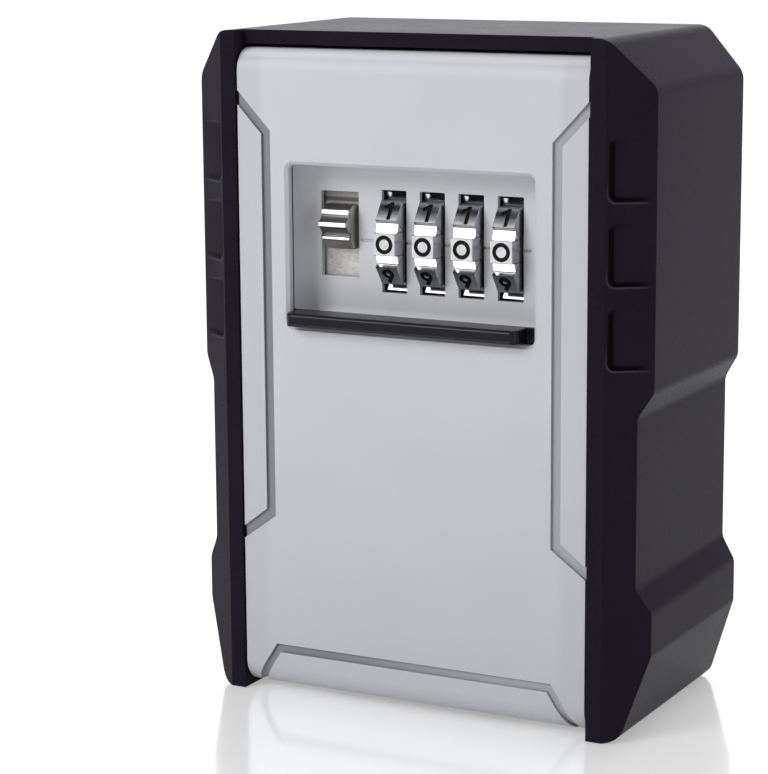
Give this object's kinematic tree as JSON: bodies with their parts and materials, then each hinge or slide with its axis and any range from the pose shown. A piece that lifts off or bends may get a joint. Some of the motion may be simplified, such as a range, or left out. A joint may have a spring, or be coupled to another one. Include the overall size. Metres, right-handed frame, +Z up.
{
  "type": "key lock box",
  "caption": "Wall-mounted combination key safe: ribbed black case, drop-down grey front with number dials, opening lever and sliding shutter, hook cavity inside.",
  "frame": {"origin": "middle of the bounding box at the level of the foot", "axes": "+X to the right seen from the front, +Y back towards the wall, +Z up"},
  "size_m": [0.105, 0.0572, 0.1435],
  "materials": {
    "shell_plastic": "fine textured black",
    "frame_plastic": "satin black",
    "seal_rubber": "matte",
    "case_metal": "satin grey",
    "door_paint": "fine textured light grey",
    "plate_paint": "satin light grey",
    "cover_paint": "satin grey",
    "guide_plastic": "matte black",
    "shutter_plastic": "satin black",
    "nickel": "polished nickel",
    "steel": "zinc plated",
    "chrome": "satin chrome",
    "brass": "yellow passivated",
    "cam_brass": "plain"
  },
  "bodies": {
    "case": {"outer_shell": "shell_plastic", "inner_case": "case_metal", "front_frame": "frame_plastic", "weather_seal": "seal_rubber", "strike_plate": "steel", "hinge_bracket": "case_metal", "hinge_barrel": "nickel", "hinge_pin": "steel", "hook_bar": "case_metal", "key_hook_left": "steel", "key_hook_right": "steel", "hook_bar_screw_1": "steel", "hook_bar_screw_2": "steel", "hook_bar_screw_3": "steel", "hook_bar_screw_4": "steel", "shell_screw_1": "steel", "shell_screw_2": "steel", "shell_screw_3": "steel", "shell_screw_4": "steel"},
    "door": {"door_panel": "door_paint", "dial_plate": "plate_paint", "lock_cover": "cover_paint", "shutter_guide": "guide_plastic", "dial_spindle": "steel", "detent_spring": "steel", "cover_screw_left": "brass", "cover_screw_right": "brass", "latch_spring": "steel"},
    "latch": {"opening_lever": "nickel", "latch_plate": "nickel", "latch_hook_left": "nickel", "latch_hook_right": "nickel"},
    "shutter": {"weather_shutter": "shutter_plastic"},
    "wheel_1": {"dial_1": "chrome", "code_cam_1": "cam_brass"},
    "wheel_2": {"dial_2": "chrome", "code_cam_2": "cam_brass"},
    "wheel_3": {"dial_3": "chrome", "code_cam_3": "cam_brass"},
    "wheel_4": {"dial_4": "chrome", "code_cam_4": "cam_brass"},
    "code_change": {"reset_lever": "nickel"}
  },
  "joints": [
    {"name": "door_hinge", "type": "hinge", "parent": "case", "child": "door", "pos_m": [0, -0.0171, 0.0093], "axis": [1, 0, 0], "range_deg": [0, 90]},
    {"name": "latch_slide", "type": "slide", "parent": "door", "child": "latch", "axis": [0, 0, -1], "range_m": [0, 0.0055], "stiffness_N_per_m": 150, "springref_m": -0.01, "deforming": ["latch_spring"]},
    {"name": "shutter_slide", "type": "slide", "parent": "door", "child": "shutter", "axis": [0, 0, 1], "range_m": [0, 0.0306]},
    {"name": "dial_1_turn", "type": "hinge", "parent": "door", "child": "wheel_1", "pos_m": [-0.008, -0.0087, 0.0994], "axis": [1, 0, 0], "continuous": true},
    {"name": "dial_2_turn", "type": "hinge", "parent": "door", "child": "wheel_2", "pos_m": [0.001, -0.0087, 0.0994], "axis": [1, 0, 0], "continuous": true},
    {"name": "dial_3_turn", "type": "hinge", "parent": "door", "child": "wheel_3", "pos_m": [0.01, -0.0087, 0.0994], "axis": [1, 0, 0], "continuous": true},
    {"name": "dial_4_turn", "type": "hinge", "parent": "door", "child": "wheel_4", "pos_m": [0.019, -0.0087, 0.0994], "axis": [1, 0, 0], "continuous": true},
    {"name": "code_change_slide", "type": "slide", "parent": "door", "child": "code_change", "axis": [0, 0, 1], "range_m": [0, 0.009]}
  ]
}
